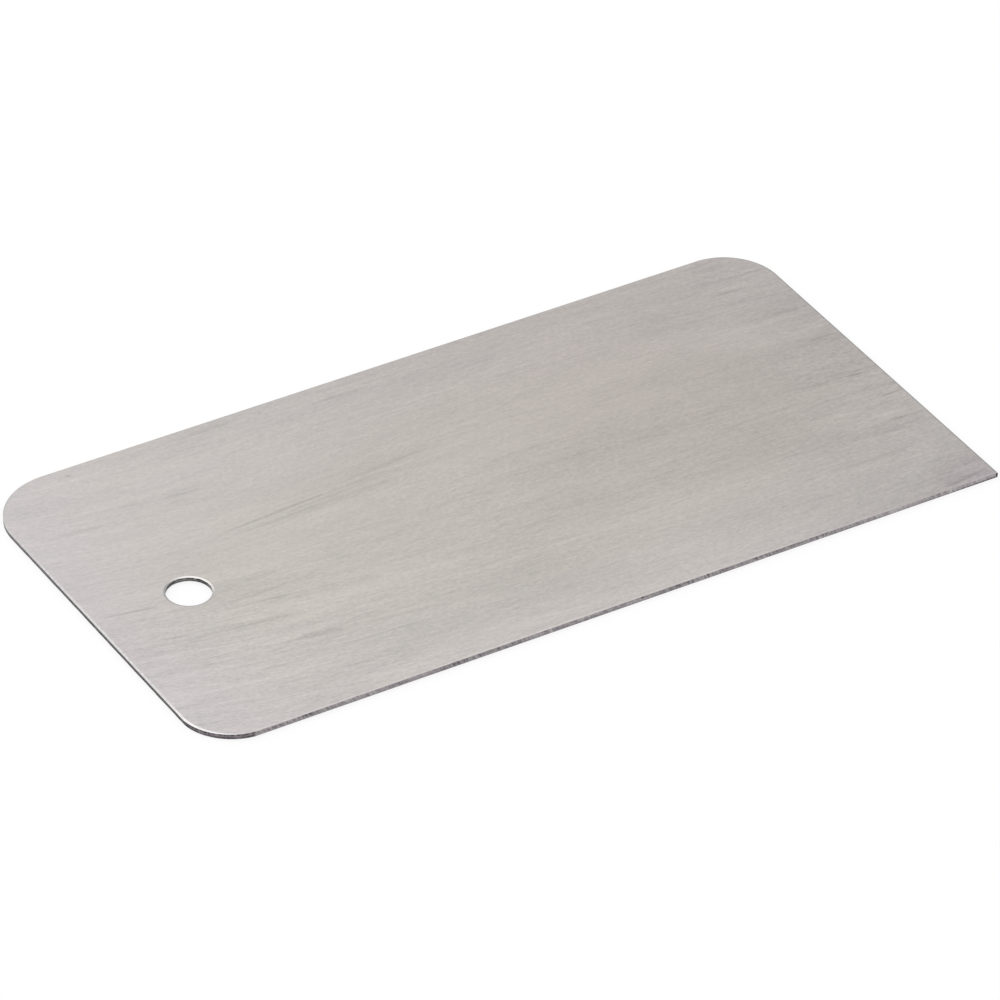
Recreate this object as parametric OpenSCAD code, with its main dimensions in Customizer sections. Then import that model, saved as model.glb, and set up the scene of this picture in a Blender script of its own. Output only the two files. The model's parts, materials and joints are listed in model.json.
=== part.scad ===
// Card scraper: one thin plate of hardened spring steel, punched from strip.
// It lies flat, with the scraping edges along X, the hanging hole towards -X
// and the origin at the middle of its underside.

/* [Plate] */
// Length of the plate, along its scraping edges
plate_l = 125; // [90:1:200]
// Width of the plate, from one scraping edge to the other
plate_w = 65; // [45:0.5:100]
// Thickness of the spring steel
plate_t = 0.8; // [0.6:0.1:1.5]

/* [Corners] */
// Radius of the front corner at the hole end
front_hole_end_r = 7.9; // [3:0.1:16]
// Radius of the back corner at the hole end
back_hole_end_r = 10.1; // [3:0.1:16]
// Radius of the back corner at the plain end; the front corner there stays square
back_plain_end_r = 8.3; // [3:0.1:16]
// How far the front corner's arc bites past both edges, which leaves a slight angle at its ends
front_bite = 0.05; // [0:0.01:0.1]

/* [Hanging hole] */
// Diameter of the hanging hole
hole_d = 6.4; // [4:0.1:12]
// From the short end to the middle of the hole
hole_from_end = 14.6; // [12:0.1:25]
// How far the hole sits off the plate's middle line, towards the front
hole_off_middle = 0.9; // [0:0.05:4]

/* [Punched rim] */
// Radius of the roll that the punch leaves on the upper rim
roll_r = 0.5; // [0.35:0.05:0.55]
// How far the roll reaches in from the edge
roll_reach = 0.3; // [0.1:0.05:0.35]
// How far beyond a ground scraping edge the roll's inner line runs out
roll_fade = 0.05; // [0.02:0.01:0.2]

/* [Hidden] */

$fn = 128;
// One overrun for every cut
overrun = 1;
half_l = plate_l / 2;
half_w = plate_w / 2;
hole_r = hole_d / 2;

// Moves a shape drawn at a corner, with the plate towards +X and +Y, to one of the four corners
module at_corner(end, side) {
    translate([end * half_l, side * half_w, 0])
        mirror([end > 0 ? 1 : 0, 0, 0])
            mirror([0, side > 0 ? 1 : 0, 0])
                children();
}

// What the corner punch takes off the outline: a square with its arc left standing
module corner_waste(arc_r, bite = 0) {
    middle = arc_r - bite;
    difference() {
        translate([-overrun, -overrun])
            square(middle + overrun);
        translate([middle, middle])
            circle(arc_r);
    }
}

module outline() {
    difference() {
        square([plate_l, plate_w], center = true);
        at_corner(-1, -1)
            corner_waste(front_hole_end_r, front_bite);
        at_corner(-1, 1)
            corner_waste(back_hole_end_r);
        at_corner(1, 1)
            corner_waste(back_plain_end_r);
    }
}

// Section of the metal that the roll leaves out: X runs outwards from where the roll
// begins, and Y is zero at the upper face
module roll_section() {
    difference() {
        translate([0, -roll_r])
            square(roll_r + overrun);
        translate([0, -roll_r])
            circle(roll_r);
    }
}

// The roll along a short end, between two places on Y
module end_roll(end, from_y, to_y) {
    translate([end * (half_l - roll_reach), from_y, plate_t])
        mirror([end < 0 ? 1 : 0, 0, 0])
            rotate([90, 0, 0])
                mirror([0, 0, 1])
                    linear_extrude(to_y - from_y)
                        roll_section();
}

// The roll round a corner: it starts at its full reach on the short end and turns on a
// wider arc than the corner, so it dies out before the ground scraping edge
module corner_roll(arc_r, bite = 0) {
    turn_r = arc_r + roll_reach + roll_fade;
    translate([turn_r, arc_r - bite, plate_t])
        rotate([0, 0, 180])
            rotate_extrude(angle = 90)
                translate([turn_r - roll_reach, 0])
                    roll_section();
}

// The hole's straight bore, and the roll round its upper rim
module hanging_hole() {
    rim_r = hole_r + roll_reach;
    translate([hole_from_end - half_l, -hole_off_middle, 0]) {
        translate([0, 0, -overrun])
            cylinder(r = hole_r, h = plate_t + 2 * overrun);
        translate([0, 0, plate_t])
            rotate_extrude()
                difference() {
                    translate([0, -roll_r])
                        square([rim_r, roll_r + overrun]);
                    translate([rim_r, -roll_r])
                        circle(roll_r);
                }
    }
}

// The plate: square, ground scraping edges front and back, and a rolled upper rim on all
// that the punch cut, which is both short ends, the three arcs and the hole
module blade() {
    color([0.75, 0.73, 0.71])
        difference() {
            linear_extrude(plate_t)
                outline();
            hanging_hole();
            end_roll(-1, front_hole_end_r - front_bite - half_w, half_w - back_hole_end_r);
            end_roll(1, -half_w - overrun, half_w - back_plain_end_r);
            at_corner(-1, -1)
                corner_roll(front_hole_end_r, front_bite);
            at_corner(-1, 1)
                corner_roll(back_hole_end_r);
            at_corner(1, 1)
                corner_roll(back_plain_end_r);
        }
}

blade();
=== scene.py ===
# The looks of a card scraper: one brushed spring-steel plate that lies on a pale studio floor.
# It is built in metres, in the part's own frame: scraping edges along X, hanging hole towards -X.
import json
import math

import bmesh
import bpy
from mathutils import Matrix, Vector, noise


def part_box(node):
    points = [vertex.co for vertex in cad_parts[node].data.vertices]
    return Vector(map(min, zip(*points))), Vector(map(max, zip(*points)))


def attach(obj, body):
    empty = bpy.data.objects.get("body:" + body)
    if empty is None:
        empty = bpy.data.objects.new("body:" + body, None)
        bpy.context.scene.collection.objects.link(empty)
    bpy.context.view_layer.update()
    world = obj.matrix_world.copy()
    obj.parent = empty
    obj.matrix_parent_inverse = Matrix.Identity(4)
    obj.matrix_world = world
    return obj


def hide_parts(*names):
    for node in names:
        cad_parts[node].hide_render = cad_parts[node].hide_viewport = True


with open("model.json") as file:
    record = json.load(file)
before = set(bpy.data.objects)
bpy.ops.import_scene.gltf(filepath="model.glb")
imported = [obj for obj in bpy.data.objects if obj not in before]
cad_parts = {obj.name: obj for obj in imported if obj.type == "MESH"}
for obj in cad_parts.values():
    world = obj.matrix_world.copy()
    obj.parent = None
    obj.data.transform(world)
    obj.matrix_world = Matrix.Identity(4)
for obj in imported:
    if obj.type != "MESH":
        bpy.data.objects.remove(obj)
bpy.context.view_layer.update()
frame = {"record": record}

# The plate.
# One piece of hardened spring steel, punched from strip with its hanging hole. The punch leaves a
# soft roll on the upper rim and a torn wall under it. Both long edges are then ground square,
# which cuts the roll away there and makes them the scraping edges.
MM = 0.001
# The origin is at the middle of the underside, so the box's high corner gives all three
HALF_LENGTH, HALF_WIDTH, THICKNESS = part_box("blade")[1]
hang_hole = next(mount for mount in frame["record"]["mounts"] if mount["name"] == "hang_hole")
HOLE_CENTRE = Vector(hang_hole["pos_m"][:2])
HOLE_RADIUS = hang_hole["dims"]["r_mm"] * MM
HOLE_SEGMENTS = 128
# Radius of each corner, by its end and side, and how far its arc bites past both edges
CORNERS = {
    (-1, -1): (7.9 * MM, 0.05 * MM),
    (-1, 1): (10.1 * MM, 0),
    (1, 1): (8.3 * MM, 0),
    (1, -1): (0, 0),
}
CORNER_SEGMENTS = 64
# The short ends are cut into steps, so that the tear can follow them
END_STEP = 0.2 * MM
ROLL_RADIUS = 0.5 * MM
ROLL_REACH = 0.3 * MM
# How far beyond a ground edge the roll's inner line runs out
ROLL_FADE = 0.05 * MM
ROLL_RINGS = 8
WALL_ROWS = 9
# The torn part of a punched wall, as shares of the thickness: how high it reaches, how much that
# wanders, and in what height the tear comes to its full depth
TEAR_SHARE = 0.62
WANDER_SHARE = 0.25
ONSET_SHARE = 1 / 6
TEAR_DEPTH = 0.025 * MM
CHIP_SIZE = Vector((0.9, 0.9, 0.12)) * MM
CHIPS_PER_WANDER = 2.5
# How far the metal breaks away below. The punch of the hole sat off the middle of its die, so its
# wall breaks away on one side alone, most of all in this direction.
HOLE_BREAKOUT = Vector((0.1, 0.15)) * MM
END_BREAKOUT = 0.06 * MM
# A length below this counts as none
LEAST_LENGTH = 0.001 * MM
FACE, ROLL, TORN_WALL, GROUND_EDGE = range(4)


def round_corner(bm, end, side, radius, bite):
    """Rounds one corner of the flat outline with the punch's own arc."""
    tip = Vector((end * HALF_LENGTH, side * HALF_WIDTH, 0))
    centre = tip - Vector((end, side, 0)) * (radius - bite)
    arc_from_tip = radius - bite - math.sqrt(radius**2 - (radius - bite) ** 2)
    rounded = bmesh.ops.bevel(
        bm,
        geom=[min(bm.verts, key=lambda vert: (vert.co - tip).length)],
        offset=arc_from_tip,
        segments=CORNER_SEGMENTS,
        affect="VERTICES",
        profile=0.5,
        material=-1,
    )
    for vert in rounded["verts"]:
        vert.co = centre + (vert.co - centre).normalized() * radius


def roll_drop(place):
    """How far the punched rim has rolled down at a place on the upper face."""
    end = 1 if place.x > 0 else -1
    side = 1 if place.y > 0 else -1
    radius, bite = CORNERS[end, side]
    turn = radius + ROLL_REACH + ROLL_FADE
    from_end = HALF_LENGTH - abs(place.x)
    past_centre = max(abs(place.y) - HALF_WIDTH + radius - bite, 0)
    past_start = HOLE_RADIUS + ROLL_REACH - (place.to_2d() - HOLE_CENTRE).length
    if from_end < turn:
        past_start = max(past_start, math.hypot(turn - from_end, past_centre) - (turn - ROLL_REACH))
    past_start = min(max(past_start, 0), ROLL_REACH)
    return ROLL_RADIUS - math.sqrt(ROLL_RADIUS**2 - past_start**2)


def tear(place):
    """How far a punched wall is set in at a place, by its chips and by its breakout below."""
    chip = Vector(part / size for part, size in zip(place, CHIP_SIZE))
    torn_from = TEAR_SHARE + WANDER_SHARE * noise.noise(chip / CHIPS_PER_WANDER)
    below = max(torn_from - place.z / THICKNESS, 0)
    from_hole = place.to_2d() - HOLE_CENTRE
    from_end = HALF_LENGTH + place.x
    breakout = 0
    if from_hole.length < HOLE_RADIUS + ROLL_REACH:
        breakout = max(from_hole.normalized().dot(HOLE_BREAKOUT), 0)
    elif from_end < ROLL_REACH:
        breakout = END_BREAKOUT * (1 - from_end / ROLL_REACH)
    chipped = TEAR_DEPTH * min(below / ONSET_SHARE, 1) * (0.5 + 0.5 * noise.noise(chip))
    return chipped + breakout * below / TEAR_SHARE


def put_in_order(parts, key):
    """Gives a mesh's vertices or faces the same order each run, which an extrusion doesn't."""
    rank = {part: number for number, part in enumerate(sorted(parts, key=key))}
    parts.sort(key=rank.get)
    parts.index_update()


bm = bmesh.new()
bmesh.ops.create_grid(bm, x_segments=1, y_segments=1, size=1)
bmesh.ops.scale(bm, vec=(HALF_LENGTH, HALF_WIDTH, 1), verts=bm.verts)
for (end, side), (radius, bite) in CORNERS.items():
    if radius:
        round_corner(bm, end, side, radius, bite)
for edge in list(bm.edges):
    if abs(edge.verts[0].co.x - edge.verts[1].co.x) < LEAST_LENGTH:
        bmesh.ops.subdivide_edges(bm, edges=[edge], cuts=round(edge.calc_length() / END_STEP))
# The roll's rings need room at the square corner, so the steps next to it go
square_tip = Vector((HALF_LENGTH, -HALF_WIDTH, 0))
kept_clear = ROLL_REACH * 1.5
crowded = [vert for vert in bm.verts if LEAST_LENGTH < (vert.co - square_tip).length < kept_clear]
bmesh.ops.dissolve_verts(bm, verts=crowded)
# The flat outline is filled anew, round the hole
bmesh.ops.delete(bm, geom=list(bm.faces), context="FACES_ONLY")
bmesh.ops.create_circle(
    bm, segments=HOLE_SEGMENTS, radius=HOLE_RADIUS, matrix=Matrix.Translation(HOLE_CENTRE.to_3d())
)
bmesh.ops.triangle_fill(bm, edges=list(bm.edges), use_beauty=True, normal=(0, 0, 1))
upper = list(bm.faces)
for row in range(WALL_ROWS):
    # The faces are lifted with their edges, so that no sheet stays inside the plate
    rims = {edge for face in upper for edge in face.edges}
    raised = bmesh.ops.extrude_face_region(bm, geom=upper + list(rims))["geom"]
    upper = [part for part in raised if isinstance(part, bmesh.types.BMFace)]
    corners = [part for part in raised if isinstance(part, bmesh.types.BMVert)]
    bmesh.ops.translate(bm, vec=(0, 0, THICKNESS / WALL_ROWS), verts=corners)
for ring in range(ROLL_RINGS):
    bmesh.ops.inset_region(
        bm, faces=upper, thickness=ROLL_REACH / ROLL_RINGS, depth=0, use_even_offset=True
    )
bmesh.ops.recalc_face_normals(bm, faces=bm.faces)
bm.normal_update()
for face in bm.faces:
    middle = face.calc_center_median()
    if abs(face.normal.z) > 0.5:
        rolled = middle.z > THICKNESS / 2 and roll_drop(middle) > LEAST_LENGTH
        face.material_index = ROLL if rolled else FACE
    else:
        ground = HALF_WIDTH - abs(middle.y) < LEAST_LENGTH
        face.material_index = GROUND_EDGE if ground else TORN_WALL
    face.smooth = face.material_index in (ROLL, TORN_WALL)
for vert in bm.verts:
    walls = [face for face in vert.link_faces if face.material_index in (TORN_WALL, GROUND_EDGE)]
    set_in = Vector()
    if any(face.material_index == TORN_WALL for face in walls):
        outwards = sum((face.normal for face in walls), Vector()).normalized()
        set_in = outwards * tear(vert.co)
    vert.co.z *= 1 - roll_drop(vert.co) / THICKNESS
    vert.co -= set_in
for edge in bm.edges:
    edge.smooth = len({face.material_index for face in edge.link_faces}) == 1
put_in_order(bm.verts, lambda vert: vert.co[:])
put_in_order(bm.faces, lambda face: sorted(vert.index for vert in face.verts))
mesh = bpy.data.meshes.new("steel_plate")
bm.to_mesh(mesh)
bm.free()
plate = bpy.data.objects.new("steel_plate", mesh)
bpy.context.scene.collection.objects.link(plate)
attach(plate, "root")
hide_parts("blade")


class Wire:
    """A node's output, on which a finish's maths is written as Python."""

    def __init__(self, finish, socket):
        self.finish = finish
        self.socket = socket

    def __add__(self, other):
        return self.finish.maths("ADD", self, other)

    def __sub__(self, other):
        return self.finish.maths("SUBTRACT", self, other)

    def __rsub__(self, other):
        return self.finish.maths("SUBTRACT", other, self)

    def __mul__(self, other):
        return self.finish.maths("MULTIPLY", self, other)

    def __truediv__(self, other):
        return self.finish.maths("DIVIDE", self, other)

    def __rtruediv__(self, other):
        return self.finish.maths("DIVIDE", other, self)

    __radd__ = __add__
    __rmul__ = __mul__

    def exp(self):
        return self.finish.maths("EXPONENT", self)

    def step(self, start, stop):
        """Goes smoothly from 0 at start to 1 at stop."""
        return self.finish.node(
            "ShaderNodeMapRange",
            {"interpolation_type": "SMOOTHSTEP"},
            {"Value": self, "From Min": start, "From Max": stop},
        )


class Finish:
    """A material, with its own places in millimetres."""

    def __init__(self, name):
        self.material = bpy.data.materials.new(name)
        self.material.use_nodes = True
        self.tree = self.material.node_tree
        self.tree.nodes.clear()
        place = self.node("ShaderNodeTexCoord", output="Object")
        self.x, self.y, self.z = [
            self.node("ShaderNodeSeparateXYZ", sockets={0: place}, output=axis) / MM for axis in "XYZ"
        ]

    def node(self, kind, settings=None, sockets=None, output=0):
        """Makes a node, with its settings first and then the values or links of its sockets."""
        made = self.tree.nodes.new(kind)
        for name, value in (settings or {}).items():
            setattr(made, name, value)
        for key, value in (sockets or {}).items():
            if isinstance(value, Wire):
                self.tree.links.new(value.socket, made.inputs[key])
            else:
                made.inputs[key].default_value = value
        return Wire(self, made.outputs[output])

    def maths(self, operation, *values):
        return self.node("ShaderNodeMath", {"operation": operation}, dict(enumerate(values)))

    def vector(self, x, y, z=0.0):
        return self.node("ShaderNodeCombineXYZ", sockets={0: x, 1: y, 2: z})

    def noise(self, x, y, z=0.0, detail=2.0, roughness=0.5):
        """A noise between about -1 and 1, whose patches are as large as 1 in each value.

        A whole number in or added to a value picks another part of the same noise.
        """
        fac = self.node(
            "ShaderNodeTexNoise",
            sockets={
                "Vector": self.vector(x, y, z),
                "Scale": 1.0,
                "Detail": detail,
                "Roughness": roughness,
            },
        )
        return (fac - 0.5) * 4

    def streak(self, place, start, stop, width, core=0.55):
        """A soft mark from start to stop, 1 in its core and 0 from half its width outwards."""
        run = Vector(stop) - Vector(start)
        centre = (Vector(start) + Vector(stop)) / 2
        laid = self.node(
            "ShaderNodeMapping",
            {"vector_type": "TEXTURE"},
            {
                "Vector": place,
                "Location": (centre.x, centre.y, 0),
                "Rotation": (0, 0, math.atan2(run.y, run.x)),
                "Scale": (run.length / 2, width / 2, 1),
            },
        )
        away = self.node("ShaderNodeVectorMath", {"operation": "LENGTH"}, {0: laid}, "Value")
        return 1 - away.step(core, 1)

    def at_hole(self):
        """1 on the hole's wall and rim, 0 elsewhere."""
        sockets = {0: self.vector(self.x, self.y), 1: (HOLE_CENTRE.x / MM, HOLE_CENTRE.y / MM, 0)}
        away = self.node("ShaderNodeVectorMath", {"operation": "DISTANCE"}, sockets, "Value")
        return 1 - away.step(4, 5)

    def mix(self, factor, colour_a, colour_b, blend="MIX"):
        """Mixes two colours, whose sockets on the node are 6 and 7, with the result on output 2."""
        return self.node(
            "ShaderNodeMix",
            {"data_type": "RGBA", "blend_type": blend},
            {0: factor, 6: colour_a, 7: colour_b},
            output=2,
        )

    def tint(self, colour, shade):
        """Multiplies a colour by a tint."""
        return self.mix(1.0, colour, shade, "MULTIPLY")

    def shade(self, colour, roughness, bump, bump_depth):
        """Ends the finish in bare metal of that colour and roughness, with a bump in millimetres."""
        normal = self.node(
            "ShaderNodeBump", sockets={"Height": bump, "Distance": bump_depth * MM, "Strength": 1.0}
        )
        sockets = {"Base Color": colour, "Roughness": roughness, "Metallic": 1.0, "Normal": normal}
        return self.end(self.node("ShaderNodeBsdfPrincipled", sockets=sockets))

    def end(self, surface):
        output = self.tree.nodes.new("ShaderNodeOutputMaterial")
        self.tree.links.new(surface.socket, output.inputs["Surface"])
        return self.material


def grey(level):
    """A grey from the brightness that it has on a screen, 0 to 255."""
    linear = (level / 255) ** 2.2
    return (linear, linear, linear, 1.0)


# Tints by which the steel's greys are multiplied
PLAIN_STEEL = (1, 1, 1, 1)
COOL_STEEL = (1.06, 1, 1, 1)
WARM_STEEL = (1.06, 1, 0.93, 1)
RED_STEEL = (1.025, 1, 1, 1)
BRIGHT_STEEL = (1.02, 1, 0.99, 1)
MAUVE_STEEL = (1.04, 1, 1.07, 1)
DARK_MAUVE_STEEL = (1.13, 1, 1.1, 1)


# Handling marks of the upper face. Each runs from one place to another, in millimetres, and has a
# width and a number of levels of brightness, out of 255, that it takes off.
MARKS = (
    ((-39.5, 8.3), (-17, 9.8), 0.65, 11),
    ((-21, 9.4), (-8, 10.2), 0.55, 6),
    ((-21, 10.5), (0, 12.1), 0.9, 6),
    ((-38, 7.1), (-18, 7.9), 0.55, 8),
    ((-30, 8.2), (-9, 9.5), 0.5, 5),
    ((-28, 7.0), (-8, 7.8), 1.6, 5),
    ((-61.5, 19.0), (-48, 17.9), 1.0, 7),
    ((-47.5, 20.7), (-42.5, 20.2), 0.7, 5),
    ((-41, 19.5), (-34, 19.0), 0.6, 6),
    ((-49.8, 30.8), (-48.7, 30.8), 0.9, 12),
    ((-32, 30.8), (-22, 31.0), 0.9, 8),
    ((-12, 29.0), (-1, 28.9), 0.9, 6),
    ((-62, -0.2), (-52.5, -2.1), 0.6, 10),
    ((-59.5, -2.9), (-53.5, -4.1), 0.7, 6),
    ((-48, -6.1), (-35, -5.9), 0.8, 6),
    ((-57.2, -8.4), (-52.6, -9.8), 0.6, 8),
    ((-51.5, -9.5), (-43.5, -11.1), 0.9, 6),
    ((-53, -10.4), (-35, -12.9), 0.5, 8),
    ((-34, -9.3), (-22, -11.0), 3.2, 4),
    ((-41, -17.4), (-33, -19.1), 2.1, 7),
    ((-48, -16.6), (-17, -20.8), 1.0, 6),
    ((-39, -21.5), (-21, -22.5), 0.6, 6),
    ((-51, -22.0), (-47, -22.5), 1.2, 5),
    ((-50, -26.5), (-42, -28.4), 2.2, 3),
    ((-1, -19.8), (20, -19.8), 1.0, 5),
    ((-5, -10.7), (7, -10.9), 0.5, 5),
    ((35, -4.9), (50, -4.9), 0.5, 5),
    ((38.4, -14.9), (41.6, -14.9), 0.45, 8),
    ((43, -21.3), (58, -21.2), 0.7, 7),
    ((50, -17.0), (62.5, -16.1), 0.7, 7),
    ((46.5, 19.4), (51.5, 19.5), 0.5, 7),
    ((50.5, 23.6), (57.5, 23.3), 0.55, 9),
    ((51, 30.2), (58, 29.6), 1.2, 8),
    ((49.5, 31.2), (56.5, 31.3), 0.6, 8),
    ((55.5, 15.9), (61.5, 14.9), 0.9, 8),
    ((56.5, 7.5), (62.5, 7.3), 0.6, 10),
    ((55.5, 10.9), (59.5, 10.7), 0.6, 9),
    ((56.7, -2.6), (60.3, -3.0), 0.5, 15),
    ((58, -9.1), (62.5, -9.1), 0.5, 14),
    ((53.5, -10.3), (61.5, -10.8), 0.6, 8),
    ((56, -14.4), (59.5, -14.8), 0.55, 12),
    ((53, -31.9), (62.5, -30.9), 0.8, 8),
)
# Broad changes of brightness on the upper face, given the same way
CLOUDS = (
    ((-10, 0), (78, 0), 34, 2.5),
    ((-72, -6), (-28, -8), 16, 4),
    ((-5, -21), (55, -21), 20, -4),
    ((-45, -31), (45, -31), 10, -3.5),
    ((52, -30), (68, -30), 14, 6),
    ((50, 13), (68, 13), 16, 4),
    ((36, 22), (44, 22), 10, 2),
)
# The greys between which the brushed steel varies, and the levels that lead from one to the other
BRUSHED_DARK = grey(148)
BRUSHED_LIGHT = grey(210)
LEVELS_BETWEEN = 60


def brushed_face():
    """Both faces, brushed along the plate. Only the upper one has the handling marks."""
    steel = Finish("brushed_face")
    x, y, z = steel.x, steel.y, steel.z
    place = steel.vector(x, y)
    upper = z.step(0.2, 0.6)

    # The grain runs along X and turns a little near both ends: flow is the distance across it
    from_end = x + HALF_LENGTH / MM
    front_flow = y - (from_end / -30).exp() * 8
    back_flow = y - (from_end / -14).exp() * 4 - x.step(-52, 5) * 3 * (1 - y.step(4, 20))
    plain_end_turn = x.step(25, 75) * (y.step(-32, 8) * 3.8 - 1)
    flow = front_flow + (back_flow - front_flow) * y.step(-6, 9) + plain_end_turn

    # The brush bit deeper in front, most of all towards the hole, and at the plain end
    front = y.step(8, -12)
    worked = front * 0.3 + front * x.step(-15, -40) * 0.6 + x.step(40, 60) * 0.7
    calm = 1 - x.step(-5, 40) * 0.4

    # Lines of each size, along and across the grain, and then what each adds in levels
    flecks = steel.noise(x / 0.6, flow / 0.4, z + 25)
    short = steel.noise(x / 1.3, flow / 0.26, z, detail=3.0, roughness=0.8)
    middle = steel.noise(x / 6, flow / 0.6, z + 5, detail=3.0, roughness=0.85)
    strokes = steel.noise(x / 22, flow / 1.7, z + 29, detail=3.0, roughness=0.75)
    long = steel.noise(x / 40, flow / 2.4, z + 9, detail=4.0, roughness=0.9)
    broad = steel.noise(x / 30, flow / 9, z + 13, detail=1.0)
    grain = (short * 7 + middle * 4.4 + flecks * 5) * (1 + worked * 0.3)
    grain = grain + strokes * worked * 7 + long * calm * 5 + broad * 2.5
    scratches = steel.noise(x / 7, flow / 0.3, z + 17, detail=1.0).step(0.5, 0.9)
    marks = sum(steel.streak(place, start, stop, width) * depth for start, stop, width, depth in MARKS)
    clouds = sum(steel.streak(place, start, stop, width) * depth for start, stop, width, depth in CLOUDS)
    level = grain - scratches * (1 + worked * 1.7) * 3 - (marks * (1 + short * 0.5) + clouds) * upper
    colour = steel.mix(0.5 + level / LEVELS_BETWEEN, BRUSHED_DARK, BRUSHED_LIGHT)

    # The steel is cool at the hole end, warm in the middle, redder in its plain half, and mauve at
    # the square corner
    warm = x.step(-66, -42) * 0.55 + steel.streak(place, (-75, -3), (79, -3), 66, 0.4) * 0.45
    red = steel.streak(place, (-35, 12), (95, 12), 110, 0)
    mauve = steel.streak(place, (50, -34), (76, -34), 20, 0.1)
    colour = steel.tint(colour, steel.mix(warm + long * 0.2, COOL_STEEL, WARM_STEEL))
    colour = steel.tint(colour, steel.mix(red + middle * 0.4, PLAIN_STEEL, RED_STEEL))
    colour = steel.tint(colour, steel.mix(mauve, PLAIN_STEEL, MAUVE_STEEL))
    return steel.shade(colour, 0.32 + grain * 0.003, short * 0.5 + middle, 0.0015)


def rolled_rim():
    """The punch's roll, with a painted highlight: bright at the hole end and duller at the plain end."""
    steel = Finish("rolled_rim")
    x, y, z = steel.x, steel.y, steel.z
    nicks = steel.noise(x / 0.6, y / 0.6, 21, detail=3.0, roughness=0.7)
    # Painted highlight: the roll is painted lighter towards the front and duller towards the plain end
    lit = y.step(28, 0) * 0.4 + y.step(-18, -28) * 0.6
    colour = steel.mix(lit + nicks * 0.5, grey(167), grey(208))
    colour = steel.mix(x.step(20, 56), colour, grey(158))

    # Round the hole it has a painted highlight, brightest towards the back and the plain end, where its
    # lower line is painted dark, as shade with a ragged edge
    across_hole = (x + y - (HOLE_CENTRE.x + HOLE_CENTRE.y) / MM) / (HOLE_RADIUS / MM)
    hole_rim_highlight = steel.mix(across_hole.step(0, 1.7) + nicks * 0.25, grey(172), grey(212))
    ragged_painted_shade = across_hole.step(0.1, 1) * (1 - (z + nicks * 0.06).step(0.69, 0.72))
    colour = steel.mix(steel.at_hole(), colour, steel.mix(ragged_painted_shade, hole_rim_highlight, grey(70)))
    return steel.shade(steel.tint(colour, BRIGHT_STEEL), 0.3 + nicks * 0.03, nicks, 0.001)


def torn_wall():
    """The punched walls: sheared in their upper half and torn below, with a pale seam between."""
    steel = Finish("torn_wall")
    x, y, z = steel.x, steel.y, steel.z
    split = z + steel.noise(x / 2, y / 2, 31) * 0.06
    sheared = split.step(0.44, 0.5)
    seam = split.step(0.28, 0.36) * (1 - split.step(0.42, 0.5))
    lines = steel.noise(x / 1.4, y / 1.4, z / 0.08, detail=3.0, roughness=0.7)
    chips = steel.noise(x / 0.4, y / 0.4, z / 0.5, detail=2.0)
    drags = steel.noise(x / 0.14, y / 0.14, z / 1.2, detail=2.0)
    torn = steel.mix(0.4 + lines * 0.45 + chips * 0.3, grey(50), grey(150))
    torn = steel.mix(seam * (0.5 + lines * 0.3), torn, grey(165))
    shorn = steel.mix(0.4 + drags * 0.3 + chips * 0.5, grey(60), grey(135))
    colour = steel.mix(sheared, torn, shorn)

    # The hole's wall is plain steel, dimmed in mottled patches as painted shade inside the hole. The
    # hole end is dim in front, and has a painted highlight, a pale line, under its roll.
    at_hole = steel.at_hole()
    hole_end = x.step(-61.7, -62.3)
    mottle = steel.noise(x / 0.9, y / 0.9, z / 0.6 + 35)
    dimmed = at_hole * (0.5 + mottle) + hole_end * (0.7 - y.step(4, 24) * 0.6)
    colour = steel.tint(colour, steel.mix(at_hole, DARK_MAUVE_STEEL, BRIGHT_STEEL))
    colour = steel.tint(colour, steel.mix(dimmed, PLAIN_STEEL, grey(165)))
    # Painted highlight: the hole end's wall is pale just under its roll
    colour = steel.mix(hole_end * z.step(0.6, 0.7) * 0.8, colour, grey(190))
    return steel.shade(colour, 0.6 - sheared * 0.35, lines * (1 - sheared) + drags * 0.3, 0.01)


def ground_edge():
    """The ground scraping edges, with the grinder's slanted lines and chatter across them."""
    steel = Finish("ground_edge")
    x, z = steel.x, steel.z
    slant = x + z * 0.5
    lines = steel.noise(slant / 0.13, z / 1.6, 41, detail=3.0, roughness=0.7)
    patches = steel.noise(slant / 0.5, z / 1.5, 43, detail=2.0, roughness=0.7)
    layers = steel.noise(x / 7, z / 0.35 + 45, detail=1.0)
    worn = x.step(55.5, 58)
    chatter = (steel.noise(x / 9, 47) + 0.6 + x.step(50, 52.5) * 0.5) * (1 - worn * 0.7)
    level = 0.41 + patches * chatter * 0.45 + lines * 0.3 + layers * 0.15

    # It is brighter towards the plain end, with a painted highlight along its upper line near the hole
    # end, and darker below near the square corner
    bright = x.step(20, 58)
    upper_painted_highlight = z.step(0.6, 0.8) * x.step(-20, -45)
    darker_below = x.step(48, 58) * (1 - z.step(0.1, 0.3))
    level = level + bright * 0.13 + upper_painted_highlight * 0.3 - darker_below * 0.35
    colour = steel.mix(level, grey(80), grey(200))
    colour = steel.tint(colour, steel.mix(0.5 + patches * 0.8, DARK_MAUVE_STEEL, COOL_STEEL))

    # One dark nick in the middle, and the dark tip of the square corner
    place = steel.vector(x, z)
    nick = steel.streak(place, (4.3, 0.6), (4.9, 0.6), 0.4)
    tip = steel.streak(place, (62.4, 0.1), (62.4, 0.9), 0.5)
    colour = steel.mix(nick * 0.7 + tip, colour, grey(20))
    return steel.shade(colour, 0.5 + lines * 0.04, lines + patches * 0.5, 0.005)


# In the order of FACE, ROLL, TORN_WALL and GROUND_EDGE
for finish in (brushed_face(), rolled_rim(), torn_wall(), ground_edge()):
    mesh.materials.append(finish)

# The studio.
# A pale floor under the plate, one large soft lamp to its left, and the camera at the
# photograph's angle. None of it is part of the object.
FLOOR_SIZE = 6.0
FLOOR_GAP = 0.02 * MM
PAPER_COLOUR = (0.9, 0.9, 0.9, 1)
WHITE = (1, 1, 1, 1)
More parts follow.
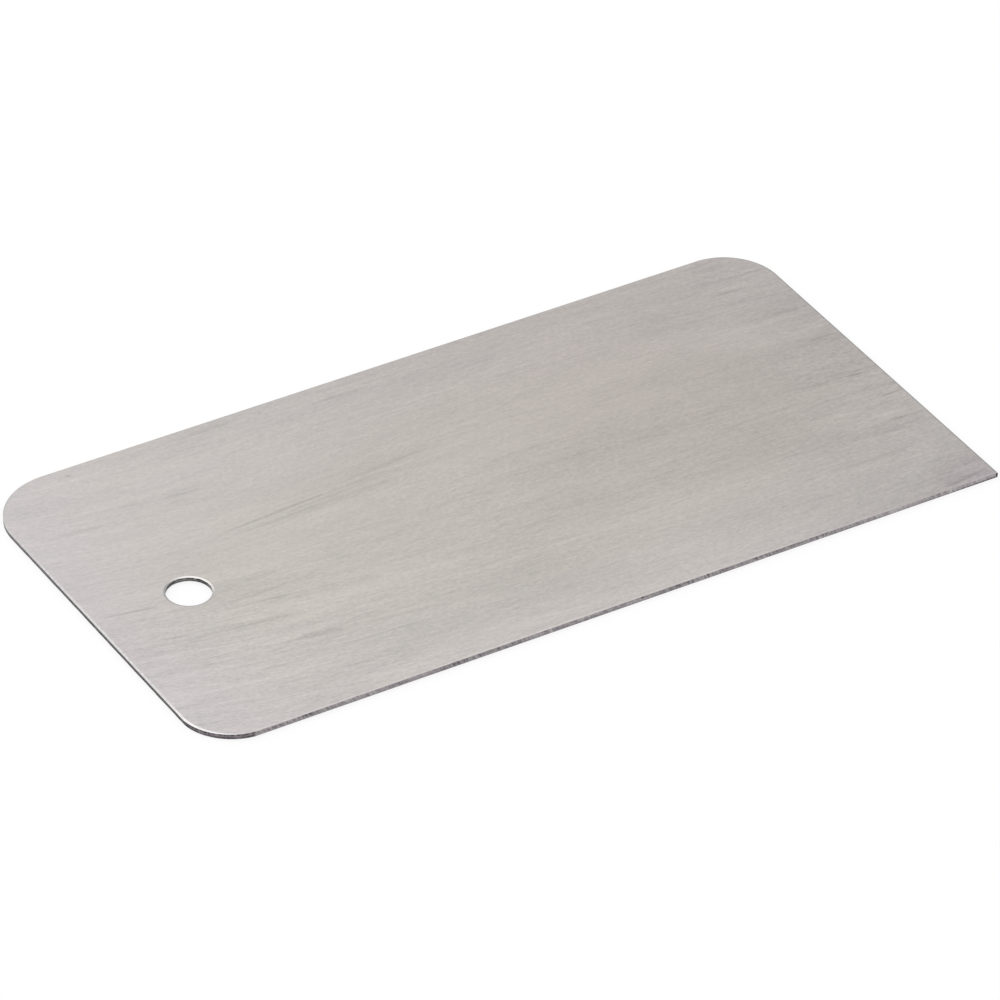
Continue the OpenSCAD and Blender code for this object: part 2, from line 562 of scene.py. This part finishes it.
# How much of the floor's own white is seen, so that the rest shows the plate's shadow
WHITE_SHARE = 0.8
bm = bmesh.new()
bmesh.ops.create_grid(bm, x_segments=1, y_segments=1, size=FLOOR_SIZE / 2)
bmesh.ops.translate(bm, vec=(0, 0, -FLOOR_GAP), verts=bm.verts)
floor_mesh = bpy.data.meshes.new("floor")
bm.to_mesh(floor_mesh)
bm.free()
floor = bpy.data.objects.new("floor", floor_mesh)
bpy.context.scene.collection.objects.link(floor)
paper = Finish("white_paper")
camera_ray = paper.node("ShaderNodeLightPath", output="Is Camera Ray")
glossy_ray = paper.node("ShaderNodeLightPath", output="Is Glossy Ray")
clear_ray = paper.node("ShaderNodeLightPath", output="Is Transmission Ray")
seen = paper.maths("MAXIMUM", paper.maths("MAXIMUM", camera_ray, glossy_ray), clear_ray)
matt = paper.node("ShaderNodeBsdfDiffuse", sockets={"Color": PAPER_COLOUR})
white = paper.node("ShaderNodeEmission", sockets={"Color": WHITE, "Strength": 1.0})
sheet = paper.node("ShaderNodeMixShader", sockets={0: seen * WHITE_SHARE, 1: matt, 2: white})
floor_mesh.materials.append(paper.end(sheet))

ROOM_LIGHT = 0.8
world = bpy.data.worlds.new("studio")
bpy.context.scene.world = world
world.use_nodes = True
background = world.node_tree.nodes["Background"]
background.inputs["Color"].default_value = WHITE
background.inputs["Strength"].default_value = ROOM_LIGHT

LAMP_PLACE = Vector((-247, 271, 611)) * MM
LAMP_RADIUS = 800 * MM
LAMP_POWER = 4.36
lamp_data = bpy.data.lights.new("softbox", "AREA")
lamp_data.shape = "DISK"
lamp_data.size = LAMP_RADIUS * 2
lamp_data.energy = LAMP_POWER
lamp = bpy.data.objects.new("softbox", lamp_data)
lamp.location = LAMP_PLACE
lamp.rotation_euler = LAMP_PLACE.to_track_quat("Z", "Y").to_euler()
bpy.context.scene.collection.objects.link(lamp)

CAMERA_AIM = Vector((-0.285, -3.307, 0.4)) * MM
CAMERA_DISTANCE = 1062.55 * MM
CAMERA_AZIMUTH = math.radians(-31.730)
CAMERA_ELEVATION = math.radians(35.641)
CAMERA_ROLL = math.radians(1.05)
CAMERA_LENS = 278.356
CAMERA_NEAR = 0.05
CAMERA_FAR = 20
camera_data = bpy.data.cameras.new("camera")
camera_data.lens = CAMERA_LENS
camera_data.clip_start = CAMERA_NEAR
camera_data.clip_end = CAMERA_FAR
camera = bpy.data.objects.new("camera", camera_data)
back = Vector(
    (
        math.sin(CAMERA_AZIMUTH) * math.cos(CAMERA_ELEVATION),
        -math.cos(CAMERA_AZIMUTH) * math.cos(CAMERA_ELEVATION),
        math.sin(CAMERA_ELEVATION),
    )
)
camera.location = CAMERA_AIM + back * CAMERA_DISTANCE
upright = back.to_track_quat("Z", "Y").to_matrix()
camera.rotation_euler = (upright @ Matrix.Rotation(CAMERA_ROLL, 3, "Z")).to_euler()
bpy.context.scene.collection.objects.link(camera)
bpy.context.scene.camera = camera
bpy.context.scene.view_settings.view_transform = "Standard"
